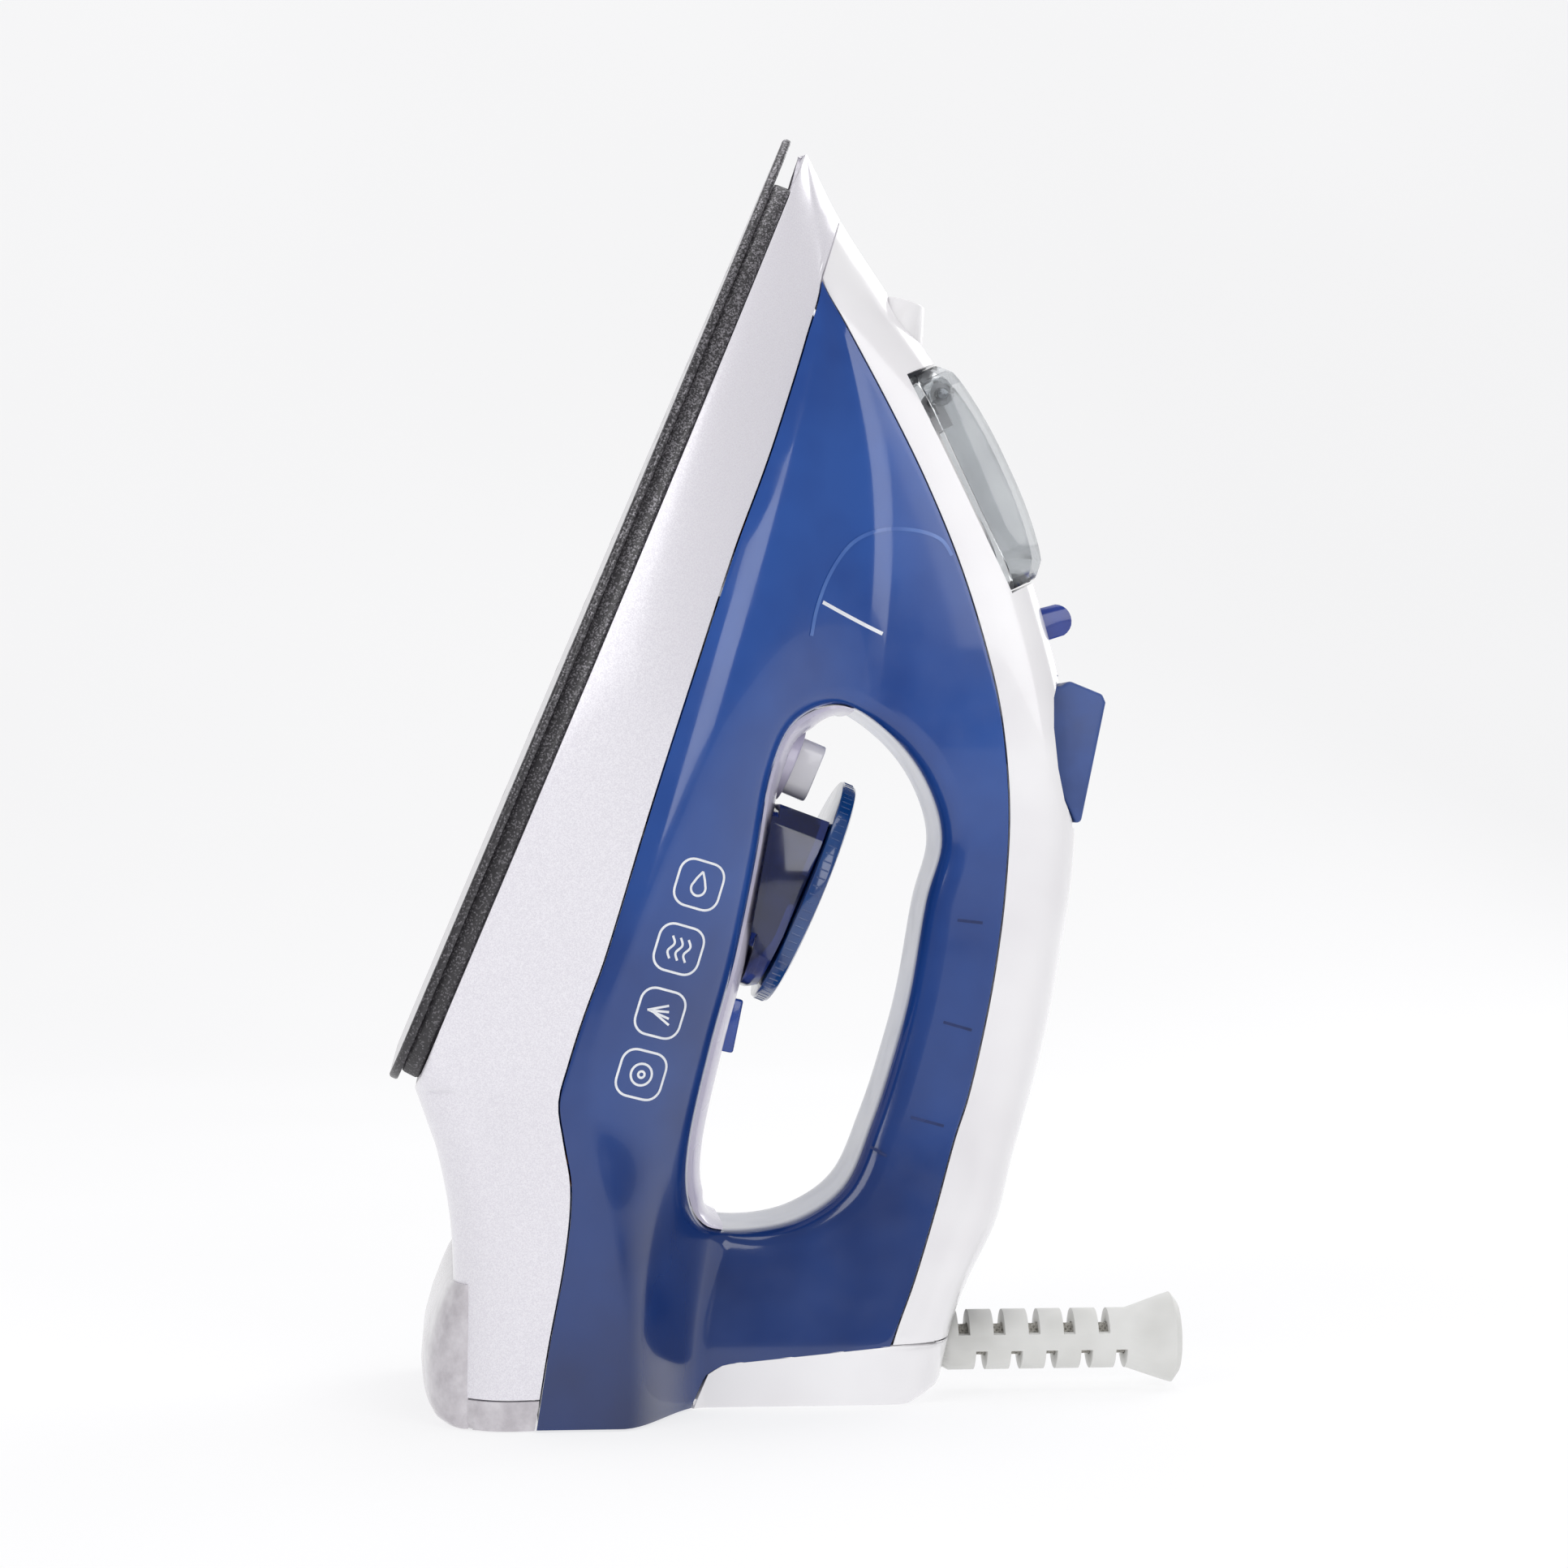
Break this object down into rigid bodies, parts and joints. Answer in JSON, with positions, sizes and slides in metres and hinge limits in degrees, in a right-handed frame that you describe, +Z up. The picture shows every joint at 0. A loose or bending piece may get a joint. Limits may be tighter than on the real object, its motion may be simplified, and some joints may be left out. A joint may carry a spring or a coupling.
{
  "type": "steam iron",
  "caption": "Steam iron standing on its heel: soleplate and heater, water tank, hand opening with dial, filler lid, steam lever, two buttons and a swivelling cord guard.",
  "frame": {"origin": "middle of the flat heel the iron stands on, in its plane of symmetry", "axes": "+Z up, from the heel to the nose; +X towards the handle, so the soleplate faces -X; Y across the iron"},
  "size_m": [0.1747, 0.108, 0.2777],
  "materials": {
    "sole_coating": "satin",
    "cast_aluminium": "matte",
    "heater_steel": "satin",
    "silicone": "matte",
    "plated_steel": "satin",
    "pearl_plastic": "gloss",
    "blue_tank": "gloss",
    "white_plastic": "gloss",
    "lilac_plastic": "gloss",
    "grey_plastic": "gloss",
    "hose_rubber": "matte",
    "smoked_clear": "gloss",
    "blue_plastic": "gloss",
    "button_blue": "satin",
    "dial_blue": "gloss",
    "shroud_clear": "gloss",
    "ceramic": "matte",
    "lens_blue": "gloss",
    "wire_cover": "matte",
    "guard_rubber": "matte",
    "cord_braid": "matte"
  },
  "bodies": {
    "iron_body": {"soleplate": "sole_coating", "heater_casting": "cast_aluminium", "heating_element": "heater_steel", "chamber_seal": "silicone", "chamber_cover": "plated_steel", "chamber_screws": "plated_steel", "skirt": "pearl_plastic", "water_tank": "blue_tank", "tank_floor": "blue_tank", "top_cover": "white_plastic", "saddle_cover": "lilac_plastic", "heel_cover": "grey_plastic", "rear_cover": "white_plastic", "rear_screws": "plated_steel", "spray_nozzle": "white_plastic", "spray_tube": "hose_rubber", "steam_tube": "hose_rubber", "filler_tray": "white_plastic", "lid_pin": "plated_steel", "rod_seal": "silicone", "pump_barrels": "white_plastic", "button_springs": "plated_steel", "dial_shroud": "shroud_clear", "thermostat": "ceramic", "thermal_fuse": "ceramic", "clean_collar": "lilac_plastic", "pilot_lens": "lens_blue", "pilot_lamp": "lens_blue", "terminal_block": "ceramic", "cord_clamp": "white_plastic", "clamp_screws": "plated_steel", "supply_wires": "wire_cover", "drum_bearing": "white_plastic"},
    "dial": {"dial_cap": "dial_blue", "dial_shaft": "plated_steel"},
    "lever": {"steam_lever": "blue_plastic", "lever_shaft": "white_plastic"},
    "valve_rod": {"steam_rod": "plated_steel"},
    "spray_key": {"spray_button": "button_blue", "spray_plunger": "white_plastic"},
    "steam_key": {"steam_button": "button_blue", "steam_plunger": "white_plastic"},
    "lid": {"filler_lid": "smoked_clear"},
    "clean_key": {"clean_button": "white_plastic", "clean_rod": "plated_steel"},
    "cord_drum": {"swivel_drum": "white_plastic"},
    "cord_end": {"cord_guard": "guard_rubber", "cord_stub": "cord_braid"}
  },
  "joints": [
    {"name": "thermostat_dial", "type": "hinge", "parent": "iron_body", "child": "dial", "pos_m": [0.0266, 0, 0.11114], "axis": [0.9212, 0, -0.3891], "range_deg": [0, 270]},
    {"name": "steam_lever", "type": "hinge", "parent": "iron_body", "child": "lever", "pos_m": [0.081, 0, 0.1696], "axis": [0.9613, 0, 0.2756], "range_deg": [-30, 30]},
    {"name": "valve_rod_lift", "type": "slide", "parent": "iron_body", "child": "valve_rod", "axis": [0.9212, 0, -0.3891], "range_m": [-0.0015, 0.0015]},
    {"name": "spray_button", "type": "slide", "parent": "iron_body", "child": "spray_key", "axis": [-0.9789, 0, 0.2045], "range_m": [0, 0.004], "stiffness_N_per_m": 600},
    {"name": "steam_button", "type": "slide", "parent": "iron_body", "child": "steam_key", "axis": [-0.9789, 0, 0.2045], "range_m": [0, 0.004], "stiffness_N_per_m": 600},
    {"name": "filler_lid", "type": "hinge", "parent": "iron_body", "child": "lid", "pos_m": [0.05786, 0, 0.21983], "axis": [0, -1, 0], "range_deg": [0, 70]},
    {"name": "self_clean_button", "type": "slide", "parent": "iron_body", "child": "clean_key", "axis": [-0.9212, 0, 0.3891], "range_m": [0, 0.003], "stiffness_N_per_m": 500},
    {"name": "cord_tilt", "type": "hinge", "parent": "iron_body", "child": "cord_drum", "pos_m": [0.045, 0, 0.0106], "axis": [0, -1, 0], "range_deg": [0, 35]},
    {"name": "cord_twist", "type": "hinge", "parent": "cord_drum", "child": "cord_end", "pos_m": [0.045, 0, 0.0106], "axis": [1, 0, 0], "range_deg": [-170, 170]}
  ],
  "couplings": [
    {"joint": "steam_lever", "follows": "valve_rod_lift", "rad_per_m": 349}
  ]
}
